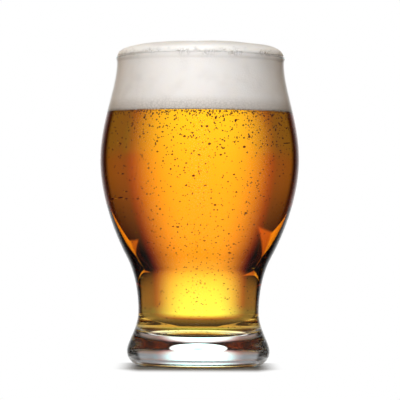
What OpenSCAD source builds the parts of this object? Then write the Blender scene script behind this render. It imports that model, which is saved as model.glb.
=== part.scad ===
// Tulip beer glass: a stemless glass with a round belly, a drawn-in waist and a heavy solid
// foot, filled with beer under a crown of foam. Lengths are in millimetres and angles in
// degrees. +Z is up, and the origin is the middle of the ring that the foot stands on.
// The outline passes through six stations, foot, waist, hip, belly, neck and lip, each with
// its own diameter and its own rise above the station below it.

/* [Foot] */
// Diameter of the foot at its widest
foot_d = 64.6; // [60:0.2:76]
// Height of the widest line of the foot above the table
foot_rise = 6.5; // [4:0.5:10]
// Width, along the radius, of the round edge under the foot
foot_edge_w = 6.5; // [2:0.5:8]
// Width, along the radius, of the flat ring that the foot stands on
ring_w = 4; // [2:0.5:10]
// Depth of the domed hollow under the foot
punt_depth = 5.5; // [1:0.5:8]

/* [Waist] */
// Diameter of the waist, the narrowest line of the glass
waist_d = 54.6; // [48:0.2:60]
// Rise from the widest line of the foot to the waist
waist_rise = 18; // [14:0.5:26]

/* [Hip] */
// Diameter at the hip, where the wall leans outward most
hip_d = 65.5; // [60:0.5:72]
// Rise from the waist to the hip
hip_rise = 24.5; // [18:0.5:32]
// Lean of the wall at the hip, away from upright
hip_lean = 28.4; // [20:0.2:36]

/* [Belly] */
// Diameter of the belly, the widest line of the glass
belly_d = 90.2; // [80:0.2:100]
// Rise from the hip to the belly
belly_rise = 44; // [36:0.5:54]

/* [Neck] */
// Diameter of the neck, just under the lip
neck_d = 75.8; // [68:0.2:82]
// Rise from the belly to the neck
neck_rise = 44; // [34:0.5:56]

/* [Lip] */
// Outer diameter of the slightly flared lip
lip_d = 76.6; // [70:0.2:84]
// Rise from the neck to the top of the lip
lip_rise = 3; // [2.2:0.1:6]

/* [Wall] */
// Thickness of the lip, which has a full round on top
lip_wall = 1.8; // [1.2:0.1:2.6]
// Thickness of the wall at the neck
neck_wall = 1.9; // [1.2:0.1:3]
// Thickness of the wall at the belly
belly_wall = 2.4; // [1.4:0.1:4]
// Thickness of the wall at the hip, measured level
hip_wall = 2.9; // [1.6:0.1:5]
// Thickness of the wall where the bottom corner of the bowl begins
heel_wall = 3.3; // [2:0.1:6]
// Height of the floor of the bowl above the table
floor_rise = 11.5; // [10:0.5:26]
// Radius of the round corner at the bottom of the bowl
heel_r = 6.5; // [3:0.5:12]

/* [Contents] */
// Depth of the foam from the top of the lip down to the beer
head_depth = 26; // [6:1:50]
// Height of the crown of foam above the top of the lip
crown_rise = 6.3; // [2:0.1:12]
// Clearance between the wall of the bowl and what it holds
film_gap = 0.05; // [0.02:0.01:0.2]

/* [Hidden] */
$fn = 120;

// Straight steps in each curve of the outline
curve_steps = 12;
// Handles of each stretch of wall, as shares of the rise from its lower to its upper end
foot_waist_shares = [0.24, 0.44];
waist_hip_shares = [0.20, 0.36];
hip_belly_shares = [0.27, 0.34];
belly_neck_shares = [0.40, 0.26];
neck_lip_shares = [0.40, 0.40];
// Handles of the crown, as shares of its rise from the lip and of its radius
crown_shares = [0.60, 0.85];

// Heights of the stations above the table
waist_z = foot_rise + waist_rise;
hip_z = waist_z + hip_rise;
belly_z = hip_z + belly_rise;
neck_z = belly_z + neck_rise;
glass_h = neck_z + lip_rise;
lip_z = glass_h - lip_wall / 2;
// Middle of the round on top of the lip
lip_middle = [(lip_d - lip_wall) / 2, lip_z];
// Level of the beer under the foam
beer_z = glass_h - head_depth;
// Edges of the ring that the foot stands on
ring_out_r = foot_d / 2 - foot_edge_w;
ring_in_r = ring_out_r - ring_w;
// Radius of the bowl where its bottom corner begins
bowl_r = waist_d / 2 - heel_wall;

// Points of a cubic curve from p to s with handles q and r, without its first point
function curve(p, q, r, s) = [
    for (i = [1 : curve_steps])
        let (t = i / curve_steps, u = 1 - t)
        u^3 * p + 3 * u^2 * t * q + 3 * u * t^2 * r + t^3 * s
];

// Stretch of wall from point a up to point b, leaning outward at its ends by two angles
function wall(a, b, shares, lean_a = 0, lean_b = 0) =
    let (rise = b.y - a.y)
    curve(a, a + shares[0] * rise * [tan(lean_a), 1], b - shares[1] * rise * [tan(lean_b), 1], b);

// Points of an oval arc about a centre, without its first point
function arc(centre, radii, from, to) = [
    for (i = [1 : curve_steps])
        let (angle = from + (to - from) * i / curve_steps)
        centre + [radii.x * cos(angle), radii.y * sin(angle)]
];

function reverse(points) = [for (i = [len(points) - 1 : -1 : 0]) points[i]];

function without_last(points) = [for (i = [0 : len(points) - 2]) points[i]];

// Wall from its low end up to the lip, at four depths in from the outside of the glass: at
// the hip, the belly, the neck and the lip
function tulip(low, depths) =
    let (
        hip = [hip_d / 2 - depths[0], hip_z],
        belly = [belly_d / 2 - depths[1], belly_z],
        neck = [neck_d / 2 - depths[2], neck_z],
        lip = [lip_d / 2 - depths[3], lip_z]
    )
    concat(
        wall(low, hip, waist_hip_shares, 0, hip_lean),
        wall(hip, belly, hip_belly_shares, hip_lean, 0),
        wall(belly, neck, belly_neck_shares),
        wall(neck, lip, neck_lip_shares)
    );

// Outside of the glass, from the standing ring up to the lip
function outside() =
    let (
        foot = [foot_d / 2, foot_rise],
        waist = [waist_d / 2, waist_z]
    )
    concat(
        [[ring_in_r, 0], [ring_out_r, 0]],
        arc([ring_out_r, foot_rise], [foot_edge_w, foot_rise], -90, 0),
        wall(foot, waist, foot_waist_shares),
        tulip(waist, [0, 0, 0, 0])
    );

// Inside of the bowl, from the middle of its floor up to the lip, drawn in by a gap
function inside(gap) =
    let (
        floor_z = floor_rise + gap,
        heel = [bowl_r - gap, floor_rise + heel_r],
        corner = [heel.x - heel_r, heel.y],
        walls = [hip_wall + gap, belly_wall + gap, neck_wall + gap, lip_wall + gap]
    )
    concat(
        [[0, floor_z], [corner.x, floor_z]],
        arc(corner, [heel_r, heel.y - floor_z], -90, 0),
        tulip(heel, walls)
    );

// Hollow under the foot, a cap of a ball, from the standing ring up to its middle
function punt() =
    let (
        ball_r = (ring_in_r^2 + punt_depth^2) / (2 * punt_depth),
        half_angle = asin(ring_in_r / ball_r)
    )
    arc([0, punt_depth - ball_r], [ball_r, ball_r], 90 - half_angle, 90);

// Round top of the lip, from the outside over to the inside
function lip_round() = arc(lip_middle, [lip_wall / 2, lip_wall / 2], 0, 180);

// Underside of the foam where it swells over the lip, from the inside up to the top of the lip
function lip_cover() =
    let (cover_r = lip_wall / 2 + film_gap)
    arc(lip_middle, [cover_r, cover_r], 180, 90);

// Top of the foam, from the top of the lip up to its middle
function crown() =
    let (
        edge = [lip_middle.x, glass_h + film_gap],
        top = [0, glass_h + crown_rise],
        edge_handle = [0, crown_shares[0] * (top.y - edge.y)],
        top_handle = [crown_shares[1] * edge.x, 0]
    )
    curve(edge, edge + edge_handle, top + top_handle, top);

// Half outline of all that the bowl holds, beer and foam together
module contents_outline() {
    polygon(concat(inside(film_gap), lip_cover(), crown()));
}

// The glass: one blown piece with a thick floor and a solid foot
module glass() {
    color("lightcyan", 0.4)
        rotate_extrude()
            polygon(concat(
                outside(),
                without_last(lip_round()),
                reverse(inside(0)),
                reverse(punt())
            ));
}

// The beer: fills the bowl up to the foam
module beer() {
    color("goldenrod", 0.85)
        rotate_extrude()
            intersection() {
                contents_outline();
                square([belly_d, beer_z]);
            }
}

// The head: lies on the beer, fills the neck and swells over the lip as a crown
module foam_head() {
    color("ivory")
        rotate_extrude()
            difference() {
                contents_outline();
                square([belly_d, beer_z]);
            }
}

glass();
beer();
foam_head();
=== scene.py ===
"""Looks of a tulip beer glass: clear glass, amber beer with fine bubbles and a head of foam."""
from collections import namedtuple
import math
import random

import bmesh
import bpy
from mathutils import Matrix, Vector, noise


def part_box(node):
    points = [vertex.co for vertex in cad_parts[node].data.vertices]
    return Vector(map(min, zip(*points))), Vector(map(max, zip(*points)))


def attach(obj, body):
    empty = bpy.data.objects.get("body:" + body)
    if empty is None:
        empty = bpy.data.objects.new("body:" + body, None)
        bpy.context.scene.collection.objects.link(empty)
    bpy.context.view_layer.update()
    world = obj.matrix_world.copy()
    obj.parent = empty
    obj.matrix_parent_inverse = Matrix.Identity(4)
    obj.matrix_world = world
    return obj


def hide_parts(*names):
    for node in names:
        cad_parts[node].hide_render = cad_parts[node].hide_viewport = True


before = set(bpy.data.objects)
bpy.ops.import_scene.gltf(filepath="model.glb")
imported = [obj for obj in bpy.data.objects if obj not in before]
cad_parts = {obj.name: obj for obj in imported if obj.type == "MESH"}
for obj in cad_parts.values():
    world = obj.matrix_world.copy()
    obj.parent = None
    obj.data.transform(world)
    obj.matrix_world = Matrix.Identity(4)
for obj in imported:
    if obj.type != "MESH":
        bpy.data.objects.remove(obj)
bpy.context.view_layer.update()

# Sizes in metres: heights and the belly come from the frame, the other sizes are named here
MM = 0.001
GLASS_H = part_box("glass")[1].z
BELLY_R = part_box("glass")[1].x
BEER_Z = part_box("beer")[1].z
CROWN_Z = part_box("foam_head")[1].z
FILM = 0.05 * MM
FLOOR_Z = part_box("beer")[0].z - FILM

# Stations of the outline, as (radius, height)
FOOT = (32.3 * MM, 6.5 * MM)
WAIST = (27.3 * MM, 24.5 * MM)
HIP = (32.75 * MM, 49 * MM)
BELLY = (BELLY_R, 93 * MM)
LIP_RISE = 3 * MM
NECK = (37.9 * MM, GLASS_H - LIP_RISE)
LIP_R = 38.3 * MM
HIP_LEAN = math.radians(28.4)
FOOT_EDGE_W = 6.5 * MM
RING_W = 4 * MM
PUNT_DEPTH = 5.5 * MM
LIP_WALL = 1.8 * MM
NECK_WALL = 1.9 * MM
BELLY_WALL = 2.4 * MM
HIP_WALL = 2.9 * MM
HEEL_WALL = 3.3 * MM
HEEL_R = 6.5 * MM
LIP_Z = GLASS_H - LIP_WALL / 2
LIP_MIDDLE = (LIP_R - LIP_WALL / 2, LIP_Z)

# Handles of each stretch of wall, as shares of its rise, and of the crown of foam
FOOT_WAIST_SHARES = (0.24, 0.44)
WAIST_HIP_SHARES = (0.20, 0.36)
HIP_BELLY_SHARES = (0.27, 0.34)
BELLY_NECK_SHARES = (0.40, 0.26)
NECK_LIP_SHARES = (0.40, 0.40)
CROWN_SHARES = (0.60, 0.85)

# Fineness of the meshes
CURVE_STEPS = 26
CROWN_STEPS = 40
ARC_STEPS = 12
TURN_STEPS = 180
# A point nearer to the axis than this is on it
ON_AXIS = 0.0001 * MM


# Outlines, as lists of (radius, height)
def curve(p, q, r, s, steps=CURVE_STEPS):
    """Points of a cubic curve from p to s with handles q and r, without its first point."""
    points = []
    for i in range(1, steps + 1):
        t = i / steps
        u = 1 - t
        weights = (u**3, 3 * u * u * t, 3 * u * t * t, t**3)
        radius, height = (sum(w * c[k] for w, c in zip(weights, (p, q, r, s))) for k in (0, 1))
        points.append((radius, height))
    return points


def wall(a, b, shares, lean_a=0.0, lean_b=0.0):
    """Stretch of wall from point a up to point b, leaning outward at its ends by two angles."""
    rise = b[1] - a[1]
    low = shares[0] * rise
    high = shares[1] * rise
    return curve(
        a,
        (a[0] + low * math.tan(lean_a), a[1] + low),
        (b[0] - high * math.tan(lean_b), b[1] - high),
        b,
    )


def arc(centre, radii, start, end):
    """Points of an oval arc about a centre, angles in degrees, without its first point."""
    points = []
    for i in range(1, ARC_STEPS + 1):
        angle = math.radians(start + (end - start) * i / ARC_STEPS)
        points.append((centre[0] + radii[0] * math.cos(angle), centre[1] + radii[1] * math.sin(angle)))
    return points


def tulip(low, depths):
    """Wall from its low end up to the lip, at depths in from the outside at hip, belly, neck and lip."""
    hip = (HIP[0] - depths[0], HIP[1])
    belly = (BELLY[0] - depths[1], BELLY[1])
    neck = (NECK[0] - depths[2], NECK[1])
    lip = (LIP_R - depths[3], LIP_Z)
    return (
        wall(low, hip, WAIST_HIP_SHARES, 0.0, HIP_LEAN)
        + wall(hip, belly, HIP_BELLY_SHARES, HIP_LEAN, 0.0)
        + wall(belly, neck, BELLY_NECK_SHARES)
        + wall(neck, lip, NECK_LIP_SHARES)
    )


def outside():
    """Outside of the glass, from the middle of the punt over the standing ring up to the lip."""
    ring_out = FOOT[0] - FOOT_EDGE_W
    ring_in = ring_out - RING_W
    ball_r = (ring_in**2 + PUNT_DEPTH**2) / (2 * PUNT_DEPTH)
    half_angle = math.degrees(math.asin(ring_in / ball_r))
    return (
        [(0.0, PUNT_DEPTH)]
        + arc((0, PUNT_DEPTH - ball_r), (ball_r, ball_r), 90, 90 - half_angle)
        + [(ring_out, 0.0)]
        + arc((ring_out, FOOT[1]), (FOOT_EDGE_W, FOOT[1]), -90, 0)
        + wall(FOOT, WAIST, FOOT_WAIST_SHARES)
        + tulip(WAIST, (0, 0, 0, 0))
    )


# Steps of that outline below the foot: the punt, the standing ring and the round edge
UNDERSIDE_STEPS = 2 * ARC_STEPS + 1


def inside(gap):
    """Inside of the bowl, from the middle of its floor up to the lip, drawn in by a gap."""
    floor_z = FLOOR_Z + gap
    heel = (WAIST[0] - HEEL_WALL - gap, FLOOR_Z + HEEL_R)
    corner = (heel[0] - HEEL_R, heel[1])
    depths = [w + gap for w in (HIP_WALL, BELLY_WALL, NECK_WALL, LIP_WALL)]
    return (
        [(0.0, floor_z), (corner[0] / 2, floor_z), (corner[0], floor_z)]
        + arc(corner, (HEEL_R, heel[1] - floor_z), -90, 0)
        + tulip(heel, depths)
    )


def radius_at(outline, z):
    """Radius of a rising outline at a height."""
    for (r0, z0), (r1, z1) in zip(outline, outline[1:]):
        if z0 <= z <= z1 and z1 > z0:
            return r0 + (r1 - r0) * (z - z0) / (z1 - z0)
    return outline[-1][0]


# Mesh building
def turned(radius, angle, z):
    """Point at a radius and an angle about the axis."""
    return Vector((radius * math.cos(angle), radius * math.sin(angle), z))


def mesh_object(name, vertices, faces, slots=None):
    """A smooth-shaded mesh object, with a material slot number for each face if slots are given."""
    mesh = bpy.data.meshes.new(name)
    mesh.from_pydata(vertices, [], faces)
    mesh.polygons.foreach_set("use_smooth", [True] * len(mesh.polygons))
    if slots:
        mesh.polygons.foreach_set("material_index", slots)
    mesh.update()
    piece = bpy.data.objects.new(name, mesh)
    bpy.context.scene.collection.objects.link(piece)
    return piece


def revolve(outline):
    """Vertices and faces of an outline turned about the axis, one round of faces for each step."""
    vertices = []
    rings = []
    for r, z in outline:
        if r < ON_AXIS:
            rings.append([len(vertices)] * TURN_STEPS)
            vertices.append(Vector((0, 0, z)))
            continue
        rings.append(range(len(vertices), len(vertices) + TURN_STEPS))
        vertices.extend(turned(r, 2 * math.pi * k / TURN_STEPS, z) for k in range(TURN_STEPS))
    faces = []
    for low, high in zip(rings, rings[1:]):
        for k in range(TURN_STEPS):
            n = (k + 1) % TURN_STEPS
            # On the axis two corners are one, which leaves a triangle
            faces.append(list(dict.fromkeys((low[k], low[n], high[n], high[k]))))
    return vertices, faces


def unit_ball():
    """Vertices and faces of a small ball of radius 1."""
    ball = bmesh.new()
    bmesh.ops.create_icosphere(ball, subdivisions=1, radius=1.0)
    vertices = [v.co.copy() for v in ball.verts]
    faces = [[v.index for v in f.verts] for f in ball.faces]
    ball.free()
    return vertices, faces


def add_balls(vertices, faces, slots, balls, hollow):
    """Adds balls, each a middle and a radius, in the second material slot; hollow ones face inward."""
    ball_vertices, ball_faces = unit_ball()
    for middle, radius in balls:
        first = len(vertices)
        vertices.extend(middle + radius * v for v in ball_vertices)
        for face in ball_faces:
            corners = [first + i for i in face]
            faces.append(corners[::-1] if hollow else corners)
            slots.append(1)


# Shader nodes
class Nodes:
    """Short names for adding nodes to a tree."""

    def __init__(self, tree):
        self.tree = tree

    def add(self, kind, **settings):
        made = self.tree.nodes.new(kind)
        for key, value in settings.items():
            setattr(made, key, value)
        return made

    def feed(self, socket, value):
        """Links a socket to the value, or sets it where the value is a plain one."""
        if isinstance(value, bpy.types.NodeSocket):
            self.tree.links.new(value, socket)
        else:
            socket.default_value = value

    def place(self):
        """Point of the surface in the object's own frame."""
        return self.add("ShaderNodeTexCoord").outputs["Object"]

    def parts(self, vector):
        """Outputs X, Y and Z of a vector."""
        made = self.add("ShaderNodeSeparateXYZ")
        self.feed(made.inputs[0], vector)
        return made.outputs

    def texture(self, kind, place, scale, **settings):
        """A texture with so many grains or cells to the metre."""
        made = self.add(kind, **settings)
        made.inputs["Scale"].default_value = scale
        self.feed(made.inputs["Vector"], place)
        return made

    def math(self, operation, *values):
        made = self.add("ShaderNodeMath", operation=operation)
        for socket, value in zip(made.inputs, values):
            self.feed(socket, value)
        return made.outputs[0]

    def less(self, value):
        """What is left of 1."""
        return self.math("SUBTRACT", 1.0, value)

    def ramp(self, value, start, end, low=0.0, high=1.0):
        """Low up to the start, high from the end on, and a smooth change between."""
        made = self.add("ShaderNodeMapRange", interpolation_type="SMOOTHSTEP")
        self.feed(made.inputs["Value"], value)
        made.inputs["From Min"].default_value = start
        made.inputs["From Max"].default_value = end
        made.inputs["To Min"].default_value = low
        made.inputs["To Max"].default_value = high
        return made.outputs["Result"]

    def scaled(self, colour, factor):
        made = self.add("ShaderNodeVectorMath", operation="SCALE")
        self.feed(made.inputs[0], colour)
        self.feed(made.inputs["Scale"], factor)
        return made.outputs[0]

    def summed(self, a, b):
        made = self.add("ShaderNodeVectorMath", operation="ADD")
        self.feed(made.inputs[0], a)
        self.feed(made.inputs[1], b)
        return made.outputs[0]

    def blended(self, factor, a, b):
        """Colour a where the factor is 0 and colour b where it is 1."""
        made = self.add("ShaderNodeMix", data_type="RGBA")
        sockets = {(socket.name, socket.type): socket for socket in made.inputs}
        self.feed(sockets["Factor", "VALUE"], factor)
        self.feed(sockets["A", "RGBA"], a)
        self.feed(sockets["B", "RGBA"], b)
        return {socket.type: socket for socket in made.outputs}["RGBA"]

    def bump(self, height, strength, depth):
        made = self.add("ShaderNodeBump")
        self.feed(made.inputs["Strength"], strength)
        made.inputs["Distance"].default_value = depth
        self.feed(made.inputs["Height"], height)
        return made.outputs["Normal"]

    def mixed(self, factor, a, b):
        """Shader a where the factor is 0 and shader b where it is 1."""
        made = self.add("ShaderNodeMixShader")
        self.feed(made.inputs["Fac"], factor)
        self.feed(made.inputs[1], a)
        self.feed(made.inputs[2], b)
        return made.outputs[0]


# Materials
WHITE = (1, 1, 1, 1)
GLASS_IOR = 1.52
BEER_IOR = 1.345
# What glass and beer leave of the light of the lamps
GLASS_TINT = (0.99, 0.99, 0.99, 1)
BEER_TINT = (0.16, 0.14, 0.12, 1)


def principled(name, **values):
    """A new material with one Principled shader, whose sockets take the given values."""
    material = bpy.data.materials.new(name)
    material.use_nodes = True
    shader = material.node_tree.nodes["Principled BSDF"]
    for key, value in values.items():
        shader.inputs[key.replace("_", " ")].default_value = value
    return material, shader


def let_lamps_through(material, shader, tint):
    """Light on its way from a lamp passes the surface unbent, so what lies behind it is lit."""
    n = Nodes(material.node_tree)
    is_shadow = n.add("ShaderNodeLightPath").outputs["Is Shadow Ray"]
    clear = n.add("ShaderNodeBsdfTransparent")
    clear.inputs["Color"].default_value = tint
    output = n.tree.nodes["Material Output"]
    n.feed(output.inputs["Surface"], n.mixed(is_shadow, shader.outputs["BSDF"], clear.outputs["BSDF"]))


def clear_material(name, ior, tint, colour=WHITE):
    """A polished material that refracts light, and its shader."""
    material, shader = principled(name, Base_Color=colour, Roughness=0.0, IOR=ior, Transmission_Weight=1.0)
    let_lamps_through(material, shader, tint)
    return material, shader


# Ripple of the glass: its grain, detail and depth, and its strength on the wall and on the foot
RIPPLE_GRAIN = 110
RIPPLE_DETAIL = 1.0
RIPPLE_DEPTH = 0.25 * MM
RIPPLE_ON_WALL = 0.03
RIPPLE_ON_FOOT = 0.35


def glass_material():
    material, shader = clear_material("clear_glass", GLASS_IOR, GLASS_TINT)
    n = Nodes(material.node_tree)
    place = n.place()
    ripple = n.texture("ShaderNodeTexNoise", place, RIPPLE_GRAIN)
    ripple.inputs["Detail"].default_value = RIPPLE_DETAIL
    strength = n.ramp(n.parts(place)["Z"], FOOT[1], WAIST[1], RIPPLE_ON_FOOT, RIPPLE_ON_WALL)
    n.feed(shader.inputs["Normal"], n.bump(ripple.outputs["Fac"], strength, RIPPLE_DEPTH))
    return material


# The underside of the foot is less polished: its grain, its least roughness and what the grain adds
UNDERSIDE_GRAIN = 300
UNDERSIDE_ROUGHNESS = 0.10
UNDERSIDE_UNEVEN = 0.10


def underside_material():
    material, shader = clear_material("pressed_glass", GLASS_IOR, GLASS_TINT)
    n = Nodes(material.node_tree)
    grain = n.texture("ShaderNodeTexNoise", n.place(), UNDERSIDE_GRAIN)
    roughness = n.math("MULTIPLY_ADD", grain.outputs["Fac"], UNDERSIDE_UNEVEN, UNDERSIDE_ROUGHNESS)
    n.feed(shader.inputs["Roughness"], roughness)
    return material


# The beer takes little red, more green and most blue out of the light, per metre of its way
BEER_ABSORPTION = (2.0, 18.5, 74.0)
BEER_DENSITY = 80.0


def beer_material():
    """The glass's inside already bends the light, so the beer's own surface leaves it straight."""
    material, shader = clear_material("amber_beer", 1.0, BEER_TINT)
    n = Nodes(material.node_tree)
    absorb = n.add("ShaderNodeVolumeAbsorption")
    absorb.inputs["Color"].default_value = [1 - a / BEER_DENSITY for a in BEER_ABSORPTION] + [1]
    absorb.inputs["Density"].default_value = BEER_DENSITY
    n.feed(n.tree.nodes["Material Output"].inputs["Volume"], absorb.outputs["Volume"])
    return material


# Foam: dry and patchy at the top, wetter and darker near the beer
FOAM_DRY = (0.91, 0.885, 0.865, 1)
FOAM_PATCH = (0.86, 0.835, 0.815, 1)
FOAM_WET = (0.70, 0.645, 0.595, 1)
# Painted light: the crown above the lip gets its own tone, set to how bright its lit top looks beside the
# foam behind the glass
FOAM_CROWN_PAINTED_LIGHT = (0.94, 0.935, 0.92, 1)
FOAM_WET_H = 7 * MM
CROWN_BLEND_H = 2 * MM
FOAM_PATCH_GRAIN = 160
FOAM_PATCH_DETAIL = 4.0
FOAM_PATCH_EDGE = (0.45, 0.75)
FOAM_ROUGHNESS = 0.7
FOAM_SCATTER = dict(
    Subsurface_Weight=0.5, Subsurface_Scale=2.5 * MM, Subsurface_Radius=(1.0, 0.9, 0.8)
)
# Fine bubbles all over, as small pits
FOAM_CELL = 1100
PIT_STRENGTH = 0.25
PIT_DEPTH = 0.3 * MM
# Coarse bubbles, with dark outlines, in patches along the lip and all along the beer
FROTH_CELL = 800
FROTH_EDGE = (0.02, 0.11)
FROTH_OUTLINE = (0.50, 0.47, 0.43, 1)
LIP_FROTH_H = 2.4 * MM
LIP_FROTH_EDGE = (0.46, 0.60)
WET_FROTH = 0.8
# Dark line along the beer, a painted shade that stands in for the shaded underside of the foam; the coarse
# bubbles make it uneven
BEER_LINE_PAINTED_SHADE = (0.22, 0.11, 0.03, 1)
BEER_LINE_PAINTED_SHADE_H = 0.8 * MM
SCALLOP_H = 1.4 * MM


def foam_material():
    material, shader = principled("beer_foam", Roughness=FOAM_ROUGHNESS, **FOAM_SCATTER)
    n = Nodes(material.node_tree)
    place = n.place()
    z = n.parts(place)["Z"]
    patch_noise = n.texture("ShaderNodeTexNoise", place, FOAM_PATCH_GRAIN)
    patch_noise.inputs["Detail"].default_value = FOAM_PATCH_DETAIL
    patches = patch_noise.outputs["Fac"]
    cells = n.texture("ShaderNodeTexVoronoi", place, FOAM_CELL).outputs["Distance"]
    froth = n.texture("ShaderNodeTexVoronoi", place, FROTH_CELL, feature="DISTANCE_TO_EDGE")
    to_edge = froth.outputs["Distance"]
    outlines = n.less(n.ramp(to_edge, *FROTH_EDGE))
    wetness = n.less(n.ramp(z, BEER_Z, BEER_Z + FOAM_WET_H))
    off_lip = n.math("ABSOLUTE", n.math("SUBTRACT", z, GLASS_H))
    at_lip = n.less(n.ramp(off_lip, 0.0, LIP_FROTH_H))
    at_lip = n.math("MULTIPLY", at_lip, n.ramp(patches, *LIP_FROTH_EDGE))
    lip_froth = n.math("MULTIPLY", at_lip, outlines)
    wet_froth = n.math("MULTIPLY", n.math("MULTIPLY", wetness, outlines), WET_FROTH)
    scalloped = n.math("ADD", z, n.math("MULTIPLY", to_edge, SCALLOP_H))
    in_painted_beer_line_shade = n.less(n.ramp(scalloped, BEER_Z, BEER_Z + BEER_LINE_PAINTED_SHADE_H))
    in_painted_crown_light = n.ramp(z, GLASS_H - CROWN_BLEND_H, GLASS_H + CROWN_BLEND_H)
    colour = n.blended(n.ramp(patches, *FOAM_PATCH_EDGE), FOAM_DRY, FOAM_PATCH)
    colour = n.blended(wetness, colour, FOAM_WET)
    # Painted light on the crown above the lip
    colour = n.blended(in_painted_crown_light, colour, FOAM_CROWN_PAINTED_LIGHT)
    colour = n.blended(lip_froth, colour, FROTH_OUTLINE)
    colour = n.blended(wet_froth, colour, FROTH_OUTLINE)
    # Painted shade: a dark line where the foam meets the beer
    colour = n.blended(in_painted_beer_line_shade, colour, BEER_LINE_PAINTED_SHADE)
    n.feed(shader.inputs["Base Color"], colour)
    n.feed(shader.inputs["Normal"], n.bump(cells, PIT_STRENGTH, PIT_DEPTH))
    return material


# Single bubbles along the lip, with a thin film of beer that is smooth in places only
FOAM_BUBBLE_IOR = 1.2
FOAM_BUBBLE_ROUGHNESS = 0.2


def foam_bubble_material():
    material, shader = clear_material("foam_bubble", FOAM_BUBBLE_IOR, GLASS_TINT)
    n = Nodes(material.node_tree)
    film = n.texture("ShaderNodeTexNoise", n.place(), FOAM_CELL).outputs["Fac"]
    n.feed(shader.inputs["Roughness"], n.math("MULTIPLY", film, FOAM_BUBBLE_ROUGHNESS))
    return material


# Glass, with a material slot each for the dry wall, the wall that the beer wets and the underside
DRY_SLOT = 0
WET_SLOT = 1
UNDERSIDE_SLOT = 2


def make_glass():
    outer = outside()
    lip = arc(LIP_MIDDLE, (LIP_WALL / 2, LIP_WALL / 2), 0, 180)
    inner = inside(0.0)[::-1]
    vertices, faces = revolve(outer + lip + inner[1:])
    wet_steps = len(inner) - 1
    dry_steps = len(faces) // TURN_STEPS - wet_steps - UNDERSIDE_STEPS
    slots = []
    for slot, steps in ((UNDERSIDE_SLOT, UNDERSIDE_STEPS), (DRY_SLOT, dry_steps), (WET_SLOT, wet_steps)):
        slots += [slot] * steps * TURN_STEPS
    piece = mesh_object("tulip_glass", vertices, faces, slots)
    piece.data.materials.append(glass_material())
    piece.data.materials.append(clear_material("wetted_glass", GLASS_IOR / BEER_IOR, GLASS_TINT)[0])
    piece.data.materials.append(underside_material())
    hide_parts("glass")
    return piece


# Beer, with bubbles as hollows in its body: on the wall, loose, and in a row under the foam
BUBBLE_SEED = 11
WALL_BUBBLES = 1500
LOOSE_BUBBLES = 300
BUBBLE_R = (0.21 * MM, 0.46 * MM)
# A bubble keeps away from the floor and the foam, and by so many radii from the wall, which leans
BUBBLE_MARGIN = 1 * MM
BUBBLE_OFF_WALL = 2
# Most bubbles are high up, where they are larger, and more than half are towards the front
BUBBLE_RISE = 1.6
BUBBLE_LOW_SIZE = 0.65
BUBBLE_GROWTH = 0.4
BUBBLE_FRONT_SHARE = 0.55
BUBBLE_FRONT = math.radians(-84)
BUBBLE_SPREAD = math.radians(38)
# The row under the foam, with its distances from foam and wall in radii and its depth
EDGE_BUBBLES = 420
EDGE_BUBBLE_R = (0.18 * MM, 0.42 * MM)
EDGE_OFF_FOAM = 1.3
EDGE_OFF_WALL = 1.5
EDGE_DEPTH = 2 * MM
# Painted shade: a dark brown tint on the bubbles' surfaces darkens the light through them
GAS_PAINTED_SHADE_COLOUR = (0.42, 0.24, 0.14, 1)


def beer_bubbles(inner):
    """Middles and radii of the bubbles; powers of a chance make small sizes and depths common."""
    chance = random.Random(BUBBLE_SEED)
    bubbles = []
    least, most = BUBBLE_R
    for i in range(WALL_BUBBLES + LOOSE_BUBBLES):
        share = 1 - chance.random() ** BUBBLE_RISE
        z = FLOOR_Z + BUBBLE_MARGIN + share * (BEER_Z - FLOOR_Z - 2 * BUBBLE_MARGIN)
        radius = least + (most - least) * chance.random() ** 2
        radius *= BUBBLE_LOW_SIZE + BUBBLE_GROWTH * share
        angle = chance.uniform(0, 2 * math.pi)
        if chance.random() < BUBBLE_FRONT_SHARE:
            angle = chance.gauss(BUBBLE_FRONT, BUBBLE_SPREAD)
        reach = radius_at(inner, z) - BUBBLE_OFF_WALL * radius
        if i >= WALL_BUBBLES:
            reach *= math.sqrt(chance.random())
        bubbles.append((turned(reach, angle, z), radius))
    edge_r = radius_at(inner, BEER_Z)
    for i in range(EDGE_BUBBLES):
        radius = chance.uniform(*EDGE_BUBBLE_R)
        angle = 2 * math.pi * (i + chance.random()) / EDGE_BUBBLES
        depth = EDGE_OFF_FOAM * radius + chance.random() ** 3 * EDGE_DEPTH
        bubbles.append((turned(edge_r - EDGE_OFF_WALL * radius, angle, BEER_Z - depth), radius))
    return bubbles


def make_beer():
    inner = inside(FILM)
    outline = [p for p in inner if p[1] < BEER_Z]
    outline.append((radius_at(inner, BEER_Z), BEER_Z))
    outline.append((0.0, BEER_Z))
    vertices, faces = revolve(outline)
    slots = [0] * len(faces)
    add_balls(vertices, faces, slots, beer_bubbles(inner), hollow=True)
    piece = mesh_object("beer_body", vertices, faces, slots)
    piece.data.materials.append(beer_material())
    piece.data.materials.append(clear_material("gas_bubble", BEER_IOR, BEER_TINT, GAS_PAINTED_SHADE_COLOUR)[0])
    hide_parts("beer")
    return piece


# Foam, with an uneven crown and small bubbles along the lip
CROWN_TILT = 0.05
CROWN_LUMPS = 0.10
LUMP_SIZE = 13 * MM
RIM_SEED = 5
RIM_BUBBLES = 300
RIM_BUBBLE_R = (0.16 * MM, 0.45 * MM)
# They lie on this share of the way from the lip to the middle of the crown
RIM_SHARE = 0.16


def uneven(point):
    """A point of the crown, with the right side raised and low lumps."""
    if point.z <= GLASS_H:
        return point
    lump = noise.noise(point / LUMP_SIZE)
    rise = 1 + CROWN_TILT * point.x / LIP_R + CROWN_LUMPS * lump
    return Vector((point.x, point.y, GLASS_H + (point.z - GLASS_H) * rise))


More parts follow.
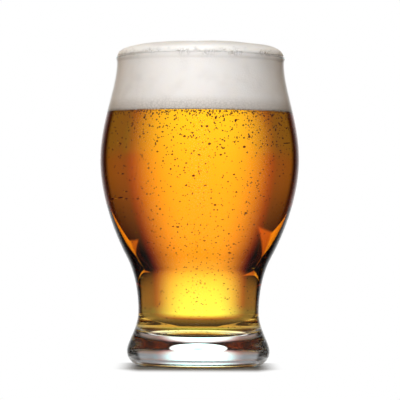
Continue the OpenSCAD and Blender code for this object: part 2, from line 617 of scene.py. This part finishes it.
def rim_bubbles(crown):
    """Middles and radii of the bubbles along the lip, half sunk in the crown and most near its edge."""
    chance = random.Random(RIM_SEED)
    bubbles = []
    for i in range(RIM_BUBBLES):
        r, z = crown[int(len(crown) * RIM_SHARE * chance.random() ** 2)]
        middle = uneven(turned(r, chance.uniform(0, 2 * math.pi), z))
        bubbles.append((middle, chance.uniform(*RIM_BUBBLE_R)))
    return bubbles


def make_foam():
    inner = inside(FILM)
    cover_r = LIP_WALL / 2 + FILM
    lip_cover = arc(LIP_MIDDLE, (cover_r, cover_r), 180, 90)
    edge = lip_cover[-1]
    top = (0.0, CROWN_Z)
    crown = curve(
        edge,
        (edge[0], edge[1] + CROWN_SHARES[0] * (top[1] - edge[1])),
        (CROWN_SHARES[1] * edge[0], top[1]),
        top,
        CROWN_STEPS,
    )
    outline = [(0.0, BEER_Z), (radius_at(inner, BEER_Z), BEER_Z)]
    outline += [p for p in inner if p[1] > BEER_Z]
    outline += lip_cover + crown
    vertices, faces = revolve(outline)
    vertices = [uneven(v) for v in vertices]
    slots = [0] * len(faces)
    add_balls(vertices, faces, slots, rim_bubbles(crown), hollow=False)
    piece = mesh_object("foam_cap", vertices, faces, slots)
    piece.data.materials.append(foam_material())
    piece.data.materials.append(foam_bubble_material())
    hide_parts("foam_head")
    return piece


for made in (make_glass(), make_beer(), make_foam()):
    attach(made, "root")


# Floor: round the foot it is lit only dimly, so a rounded oblong of painted shadow holds the object's real
# shadow; it fades to the white of the backdrop between the start and the end of that oblong, at its sides,
# front and back; its front is a little aslant
FLOOR_R = 0.15
FLOOR_COLOUR = (0.9, 0.9, 0.9, 1)
FLOOR_ROUGHNESS = 0.6
SHADE_SIDES = (25.5 * MM, 38 * MM)
SHADE_FRONT = (40 * MM, 84 * MM)
SHADE_BACK = (28 * MM, 46 * MM)
SHADE_SLANT = 0.11
SHADE_ROUND = 1.2
# The glass shows the floor below it up to this radius, and the studio beyond
FLOOR_SEEN_R = 42 * MM


def floor_material():
    material, shader = principled("pale_floor", Base_Color=FLOOR_COLOUR, Roughness=FLOOR_ROUGHNESS)
    material.cycles.emission_sampling = "NONE"
    n = Nodes(material.node_tree)
    place = n.parts(n.place())
    aside = n.math("ABSOLUTE", place["X"])
    behind = n.math("SUBTRACT", place["Y"], n.math("MULTIPLY", place["X"], SHADE_SLANT))
    before = n.math("MULTIPLY", behind, -1.0)
    total = 0.0
    for away, (start, end) in ((aside, SHADE_SIDES), (before, SHADE_FRONT), (behind, SHADE_BACK)):
        past = n.math("DIVIDE", n.math("SUBTRACT", away, start), end - start)
        past = n.math("POWER", n.math("MAXIMUM", past, 0.0), SHADE_ROUND)
        total = n.math("ADD", past, total)
    # Inside the oblong the dim floor is a painted shadow, with the object's real shadow in it
    fade = n.ramp(n.math("POWER", total, 1 / SHADE_ROUND), 0.0, 1.0)
    white = n.add("ShaderNodeEmission")
    faded = n.mixed(fade, shader.outputs["BSDF"], white.outputs["Emission"])
    n.feed(n.tree.nodes["Material Output"].inputs["Surface"], faded)
    return material


def make_floor():
    material = floor_material()
    for name, start, end, seen_in_glass in (
        ("floor_under_foot", 0.0, FLOOR_SEEN_R, True),
        ("floor", FLOOR_SEEN_R, FLOOR_R, False),
    ):
        vertices, faces = revolve([(start, 0.0), (end, 0.0)])
        floor = mesh_object(name, vertices, [f[::-1] for f in faces])
        floor.data.materials.append(material)
        floor.location.z = -FILM
        floor.visible_transmission = seen_in_glass
        floor.visible_glossy = seen_in_glass


make_floor()


# Studio, as glass and beer show it: fields of light, with the backdrop at azimuth 0
# A field has a colour, the azimuth of its middle, and the limits in degrees where it starts, is full,
# is still full and ends, around and above. Around counts away from the middle, to both sides where the
# side is 0, to the right where it is 1 and to the left where it is -1.
# A field leans away from its middle by so many degrees for each degree that it goes up. Its arch is
# the azimuth where its lower edge is highest, and the slopes by which that edge drops from there,
# towards the middle and outward.
Field = namedtuple("Field", "colour middle around above lean arch side", defaults=(0, (0, 0, 0), 0))
# Limits of a field that has no gap in its middle
NO_GAP = (-2, -1)

# The bright card behind the glass is warm at its edges, since its red reaches further
CARD_RED = Field((1.3, 0, 0), -1, (*NO_GAP, 5.5, 29.5), (-22, -5, 16, 40))
CARD_COOL = Field((0, 2.9, 2.8), -1, (*NO_GAP, 4, 26), (-18, -5, -10, 44))
COOL_EDGE = Field((0, 0.09, 0.10), 0, (14, 20, 25, 31), (-9, -6, -1, 1))
# Walls beside the card, grey low down and warm higher up
GREY_WALL = Field((0.285, 0.30, 0.315), 0, (*NO_GAP, 43, 51), (-50, -18, -4, 3))
WARM_WALL = Field((0.345, 0.25, 0.21), 0, (*NO_GAP, 43, 51), (-4, 3, 4, 27))
# Orange reflections above the waist, each with a brighter outer edge; the filled bowl turns the
# picture round, so the left one lies on the right in the studio
LEFT_ARCH = (41, 0.34, 0.28)
RIGHT_ARCH = (40, 0.34, 0.04)
LEFT_ABOVE = (24.8, 25.8, 30.5, 32.5)
RIGHT_ABOVE = (21.7, 22.7, 30.5, 32.5)
GLOW_AROUND = (36.5, 41.5, 60, 66)
EMBER_LEFT = Field((0.65, 0.30, 0.10), 0, (33.2, 34.8, 60, 66), LEFT_ABOVE, 1.42, LEFT_ARCH, 1)
EMBER_RIGHT = Field((0.70, 0.27, 0.10), 0, (29.5, 31.5, 60, 66), RIGHT_ABOVE, 1.3, RIGHT_ARCH, -1)
GLOW_LEFT = Field((0.8, 0.6, 0.1), 0, GLOW_AROUND, LEFT_ABOVE, 0.6, LEFT_ARCH, 1)
GLOW_RIGHT = Field((0.7, 0.6, 0.1), 0, GLOW_AROUND, RIGHT_ABOVE, 0.6, RIGHT_ARCH, -1)
# The rest of the studio: above, at the sides, below, and in front, where the room lies round a card
CEILING_CARD = Field((1.0, 0.75, 0.4), 0, (*NO_GAP, 14, 24), (38, 43, 60, 66))
SIDE_CARDS = Field((1.0, 1.0, 1.0), 0, (80, 95, 115, 132), (-40, -30, 30, 60))
WHITE_FLOOR = Field((1.0, 1.0, 1.0), 0, (50, 75, 181, 182), (-92, -91, -55, -24))
ROOM = Field((0.42, 0.39, 0.35), 180, (*NO_GAP, 28, 56), (-40, -30, 35, 60))
FRONT_CARD = Field((1.6, 1.6, 1.6), 180, (*NO_GAP, 2, 20), (-40, -30, 10, 40))
SEEN_THROUGH = (
    CARD_RED, CARD_COOL, COOL_EDGE, GREY_WALL, WARM_WALL, EMBER_LEFT, EMBER_RIGHT, GLOW_LEFT, GLOW_RIGHT,
    CEILING_CARD, SIDE_CARDS, WHITE_FLOOR, ROOM, FRONT_CARD
)
# What the surfaces mirror, and the even light on all else
WHITE_CARD = Field((1.0, 1.0, 1.0), 0, (*NO_GAP, 4, 38), (-26, -6, 10, 44))
FRONT_VEIL = Field((0.22, 0.22, 0.22), 180, (*NO_GAP, 60, 150), (-60, -40, 40, 70))
MIRRORED = (WHITE_CARD, FRONT_VEIL)
AMBIENT = (0.20, 0.18, 0.15, 1)


def field_of_light(n, azimuth, elevation, field):
    """Colour of one field of light in every direction."""
    away = n.math("SUBTRACT", azimuth, math.radians(field.middle))
    away = n.math("WRAP", away, math.pi, -math.pi)
    away = n.math("MULTIPLY", away, field.side) if field.side else n.math("ABSOLUTE", away)
    top, inner_slope, outer_slope = field.arch
    outward = n.math("SUBTRACT", away, math.radians(top))
    inner_drop = n.math("MULTIPLY", n.math("MINIMUM", outward, 0.0), -inner_slope)
    outer_drop = n.math("MULTIPLY", n.math("MAXIMUM", outward, 0.0), outer_slope)
    raised = n.math("ADD", elevation, n.math("ADD", inner_drop, outer_drop))
    up = n.math("SUBTRACT", elevation, math.radians(field.above[0]))
    away = n.math("SUBTRACT", away, n.math("MULTIPLY", up, field.lean))
    share = 1.0
    for risen, fallen, limits in ((away, away, field.around), (raised, elevation, field.above)):
        start, full, still, end = [math.radians(limit) for limit in limits]
        share = n.math("MULTIPLY", share, n.ramp(risen, start, full))
        share = n.math("MULTIPLY", share, n.less(n.ramp(fallen, still, end)))
    return n.scaled(field.colour, share)


def background(n, colour):
    made = n.add("ShaderNodeBackground")
    n.feed(made.inputs["Color"], colour)
    return made.outputs[0]


def make_world():
    world = bpy.data.worlds.new("studio")
    bpy.context.scene.world = world
    world.use_nodes = True
    n = Nodes(world.node_tree)
    n.tree.nodes.clear()
    direction = n.parts(n.add("ShaderNodeTexCoord").outputs["Generated"])
    azimuth = n.math("ARCTAN2", direction["X"], direction["Y"])
    elevation = n.math("ARCSINE", direction["Z"])
    ray = n.add("ShaderNodeLightPath").outputs
    light = background(n, AMBIENT)
    for kind, fields in (("Is Glossy Ray", MIRRORED), ("Is Transmission Ray", SEEN_THROUGH)):
        total = (0.0, 0.0, 0.0)
        for field in fields:
            total = n.summed(total, field_of_light(n, azimuth, elevation, field))
        light = n.mixed(ray[kind], light, background(n, total))
    light = n.mixed(ray["Is Camera Ray"], light, background(n, WHITE))
    n.feed(n.add("ShaderNodeOutputWorld").inputs["Surface"], light)


make_world()

# Lamps: a soft one overhead, and beams on the head of foam from the front, the sides and the back
OVERHEAD_PLACE = (0.0, 0.25, 1.05)
OVERHEAD_AIM = Vector((0, 0, 0))
OVERHEAD_WIDTH = 0.5
OVERHEAD_POWER = 1.5
# Place, power and colour of each beam
BEAMS = {
    "key_beam": ((-0.11, -1.05, 0.33), 45.0, (1.0, 1.0, 1.0)),
    "left_beam": ((-0.97, -0.38, 0.33), 8.5, (1.0, 0.78, 0.55)),
    "right_beam": ((0.97, -0.38, 0.33), 6.5, (1.0, 0.8, 0.6)),
    "left_back_beam": ((-0.62, 0.85, 0.45), 28.0, (1.0, 0.8, 0.6)),
    "right_back_beam": ((0.62, 0.85, 0.45), 18.0, (1.0, 0.8, 0.6)),
}
BEAM_ANGLE = math.radians(8.5)
BEAM_BLEND = 0.6
BEAM_WIDTH = 0.06
BEAM_AIM = Vector((0, 0, 0.128))


def place_lamp(lamp, place, aim):
    lamp.cycles.use_multiple_importance_sampling = False
    holder = bpy.data.objects.new(lamp.name, lamp)
    bpy.context.scene.collection.objects.link(holder)
    holder.location = place
    holder.rotation_euler = (aim - Vector(place)).to_track_quat("-Z", "Y").to_euler()
    holder.visible_camera = False
    holder.visible_glossy = False
    holder.visible_transmission = False


def make_lamps():
    overhead = bpy.data.lights.new("overhead_lamp", "AREA")
    overhead.size = OVERHEAD_WIDTH
    overhead.energy = OVERHEAD_POWER
    place_lamp(overhead, OVERHEAD_PLACE, OVERHEAD_AIM)
    for name, (place, power, colour) in BEAMS.items():
        beam = bpy.data.lights.new(name, "SPOT")
        beam.color = colour
        beam.spot_size = BEAM_ANGLE
        beam.spot_blend = BEAM_BLEND
        beam.shadow_soft_size = BEAM_WIDTH
        beam.energy = power
        place_lamp(beam, place, BEAM_AIM)


make_lamps()

# Camera, lens and sensor in millimetres
CAMERA_DISTANCE = 1.355
CAMERA_HEIGHT = 0.052
CAMERA_PITCH = math.radians(0.97)
CAMERA_YAW = math.radians(-0.012)
CAMERA_ROLL = math.radians(0.44)
CAMERA_LENS = 269
CAMERA_SENSOR = 36
CAMERA_CLIP = 0.05


def make_camera():
    camera = bpy.data.objects.new("camera", bpy.data.cameras.new("camera"))
    bpy.context.scene.collection.objects.link(camera)
    camera.data.lens = CAMERA_LENS
    camera.data.sensor_width = CAMERA_SENSOR
    camera.data.clip_start = CAMERA_CLIP
    turn = (
        Matrix.Rotation(CAMERA_YAW, 4, "Z")
        @ Matrix.Rotation(math.radians(90) + CAMERA_PITCH, 4, "X")
        @ Matrix.Rotation(CAMERA_ROLL, 4, "Z")
    )
    camera.matrix_world = Matrix.Translation((0, -CAMERA_DISTANCE, CAMERA_HEIGHT)) @ turn
    bpy.context.scene.camera = camera


make_camera()

# Light is followed through the many walls of glass, beer and bubbles
GLASS_BOUNCES = 32
scene = bpy.context.scene
scene.view_settings.view_transform = "Standard"
scene.cycles.max_bounces = GLASS_BOUNCES
scene.cycles.transmission_bounces = GLASS_BOUNCES
scene.cycles.transparent_max_bounces = GLASS_BOUNCES
scene.cycles.glossy_bounces = 8
scene.cycles.diffuse_bounces = 4
scene.cycles.min_light_bounces = 16
scene.cycles.caustics_reflective = False
scene.cycles.caustics_refractive = False
